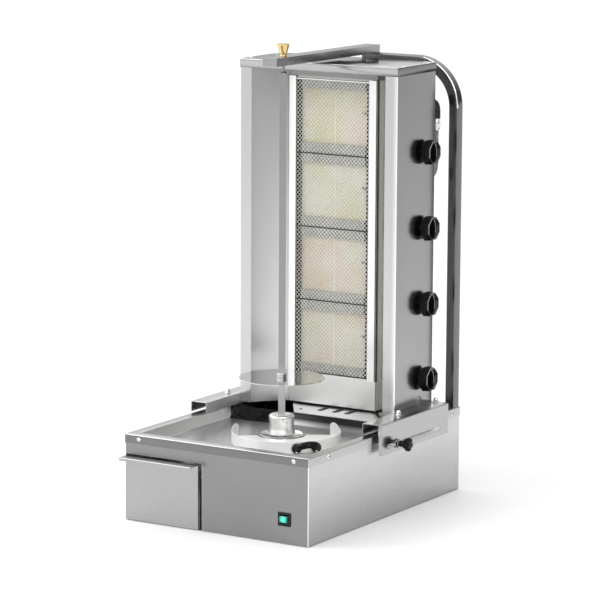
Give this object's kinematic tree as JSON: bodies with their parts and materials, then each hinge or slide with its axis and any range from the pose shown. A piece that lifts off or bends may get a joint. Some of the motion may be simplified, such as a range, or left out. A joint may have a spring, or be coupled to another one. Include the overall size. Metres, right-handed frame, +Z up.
{
  "type": "rotisserie oven",
  "caption": "Upright gas rotisserie grill: base with sunk pan and drawer, sliding burner tower, motor-driven spit under a top arm.",
  "frame": {"origin": "centre of the base's footprint, on the surface it stands on", "axes": "+Z up, +X to the user's right, +Y from the front to the back"},
  "size_m": [0.5577, 0.739, 1.0854],
  "materials": {
    "brushed_steel": "brushed stainless steel sheet",
    "bright_metal": "bright plated",
    "cast_aluminium": "polished cast aluminium",
    "mirror_steel": "mirror-bright stainless steel",
    "wire_mesh": "woven stainless wire",
    "burner_steel": "matt stainless steel",
    "ceramic": "fired perforated ceramic",
    "black_plastic": "moulded black phenolic",
    "green_lens": "translucent green, lit",
    "brass": "turned brass",
    "motor_paint": "satin grey paint",
    "black_iron": "black coated iron",
    "braid": "braided steel wire"
  },
  "bodies": {
    "base": {"base_shell": "brushed_steel", "bottom_plate": "brushed_steel", "top_pan": "brushed_steel", "deck_plate": "brushed_steel", "drawer_bay_wall": "brushed_steel", "gear_motor": "motor_paint", "motor_bracket": "brushed_steel", "hub_ring": "cast_aluminium", "switch_bezel": "black_plastic", "cable_gland": "black_plastic", "base_fasteners": "bright_metal", "clamp_boss": "bright_metal", "support_tube": "brushed_steel", "top_arm": "brushed_steel", "pin_bush": "bright_metal"},
    "tower": {"left_rail": "brushed_steel", "right_rail": "brushed_steel", "tower_fasteners": "bright_metal", "tower_shell": "brushed_steel", "top_cover": "brushed_steel", "left_reflector": "mirror_steel", "right_reflector": "mirror_steel", "burner_panel": "burner_steel", "guard_trims": "mirror_steel", "mesh_guard": "wire_mesh", "burner_body_1": "burner_steel", "burner_body_2": "burner_steel", "burner_body_3": "burner_steel", "burner_body_4": "burner_steel", "ceramic_tiles_1": "ceramic", "ceramic_tiles_2": "ceramic", "ceramic_tiles_3": "ceramic", "ceramic_tiles_4": "ceramic", "thermocouples": "black_iron", "gas_valves": "brass", "gas_manifold": "brushed_steel", "gas_elbow": "black_iron", "gas_fitting": "bright_metal", "gas_hose": "braid"},
    "spit_drive": {"drive_shaft": "bright_metal", "drive_hub": "cast_aluminium", "hub_screw": "bright_metal", "spit_bar": "brushed_steel", "meat_disc": "mirror_steel", "disc_collar": "bright_metal"},
    "drawer": {"drawer": "brushed_steel"},
    "clamp_knob": {"clamp_knob": "black_plastic", "clamp_washers": "bright_metal"},
    "switch_rocker": {"switch_rocker": "green_lens"},
    "pin_knob": {"pin_knob": "brass"},
    "meat_scoop": {"meat_scoop": "mirror_steel", "scoop_handle": "black_plastic"},
    "valve_spindle_1": {"valve_spindle_1": "bright_metal"},
    "gas_knob_1": {"gas_knob_1": "black_plastic"},
    "valve_spindle_2": {"valve_spindle_2": "bright_metal"},
    "gas_knob_2": {"gas_knob_2": "black_plastic"},
    "valve_spindle_3": {"valve_spindle_3": "bright_metal"},
    "gas_knob_3": {"gas_knob_3": "black_plastic"},
    "valve_spindle_4": {"valve_spindle_4": "bright_metal"},
    "gas_knob_4": {"gas_knob_4": "black_plastic"}
  },
  "joints": [
    {"name": "tower_slide", "type": "slide", "parent": "base", "child": "tower", "axis": [0, 1, 0], "range_m": [-0.1, 0.035]},
    {"name": "spit_spin", "type": "hinge", "parent": "base", "child": "spit_drive", "pos_m": [-0.006, -0.0545, 0.2], "axis": [0, 0, 1], "continuous": true},
    {"name": "drawer_slide", "type": "slide", "parent": "base", "child": "drawer", "axis": [0, -1, 0], "range_m": [0, 0.42]},
    {"name": "clamp_turn", "type": "hinge", "parent": "base", "child": "clamp_knob", "pos_m": [0.28, 0.0135, 0.175], "axis": [1, 0, 0], "range_deg": [0, 360]},
    {"name": "rocker_tilt", "type": "hinge", "parent": "base", "child": "switch_rocker", "pos_m": [0.184, -0.3385, 0.057], "axis": [1, 0, 0], "range_deg": [0, 14]},
    {"name": "pin_lift", "type": "slide", "parent": "base", "child": "pin_knob", "axis": [0, 0, 1], "range_m": [0, 0.014], "stiffness_N_per_m": 600},
    {"name": "scoop_lift", "type": "slide", "parent": "base", "child": "meat_scoop", "axis": [0, 0, 1], "range_m": [0, 0.08]},
    {"name": "valve_turn_1", "type": "hinge", "parent": "tower", "child": "valve_spindle_1", "pos_m": [0.21375, 0.2145, 0.2885], "axis": [1, 0, 0], "range_deg": [0, 180]},
    {"name": "knob_press_1", "type": "slide", "parent": "valve_spindle_1", "child": "gas_knob_1", "axis": [-1, 0, 0], "range_m": [0, 0.004], "stiffness_N_per_m": 600},
    {"name": "valve_turn_2", "type": "hinge", "parent": "tower", "child": "valve_spindle_2", "pos_m": [0.21375, 0.2145, 0.4673], "axis": [1, 0, 0], "range_deg": [0, 180]},
    {"name": "knob_press_2", "type": "slide", "parent": "valve_spindle_2", "child": "gas_knob_2", "axis": [-1, 0, 0], "range_m": [0, 0.004], "stiffness_N_per_m": 600},
    {"name": "valve_turn_3", "type": "hinge", "parent": "tower", "child": "valve_spindle_3", "pos_m": [0.21375, 0.2145, 0.6461], "axis": [1, 0, 0], "range_deg": [0, 180]},
    {"name": "knob_press_3", "type": "slide", "parent": "valve_spindle_3", "child": "gas_knob_3", "axis": [-1, 0, 0], "range_m": [0, 0.004], "stiffness_N_per_m": 600},
    {"name": "valve_turn_4", "type": "hinge", "parent": "tower", "child": "valve_spindle_4", "pos_m": [0.21375, 0.2145, 0.8249], "axis": [1, 0, 0], "range_deg": [0, 180]},
    {"name": "knob_press_4", "type": "slide", "parent": "valve_spindle_4", "child": "gas_knob_4", "axis": [-1, 0, 0], "range_m": [0, 0.004], "stiffness_N_per_m": 600}
  ]
}
